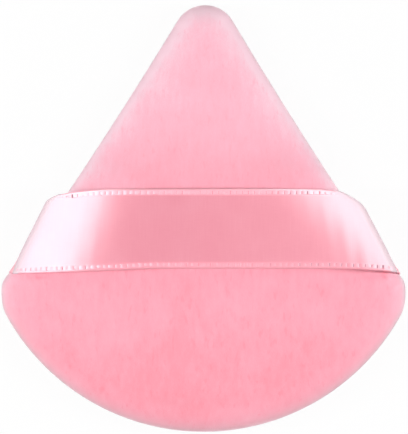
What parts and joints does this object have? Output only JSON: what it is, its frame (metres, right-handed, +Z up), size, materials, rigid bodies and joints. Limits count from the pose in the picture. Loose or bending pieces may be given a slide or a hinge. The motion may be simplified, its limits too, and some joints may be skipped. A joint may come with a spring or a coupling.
{
  "type": "powder puff",
  "caption": "Triangular velour powder puff with a rounded tip and a bowed base, filled with sponge, with a satin ribbon strap over its back for the fingers.",
  "frame": {"origin": "on the surface that the puff rests on, under the middle of its length and width", "axes": "+Z up, from the applicator face to the strap; +Y from the bowed base to the tip; +X to the right as seen from above"},
  "size_m": [0.0754, 0.08, 0.0195],
  "materials": {
    "velour": "short soft pile",
    "sponge": "open-cell foam",
    "satin": "satin weave",
    "thread": "spun polyester thread"
  },
  "bodies": {
    "pad": {"velour_back_panel": "velour", "velour_face_panel": "velour", "sponge_core": "sponge", "seam_needle_thread": "thread", "seam_bobbin_thread": "thread", "closing_stitch_thread": "thread", "strap_tack_left": "thread", "strap_tack_right": "thread"},
    "strap": {"ribbon_strap": "satin"}
  },
  "joints": [
    {"name": "strap_lift", "type": "slide", "parent": "pad", "child": "strap", "axis": [0, 0, 1], "range_m": [-0.0045, 0.008], "stiffness_N_per_m": 20, "deforming": ["ribbon_strap"]}
  ]
}
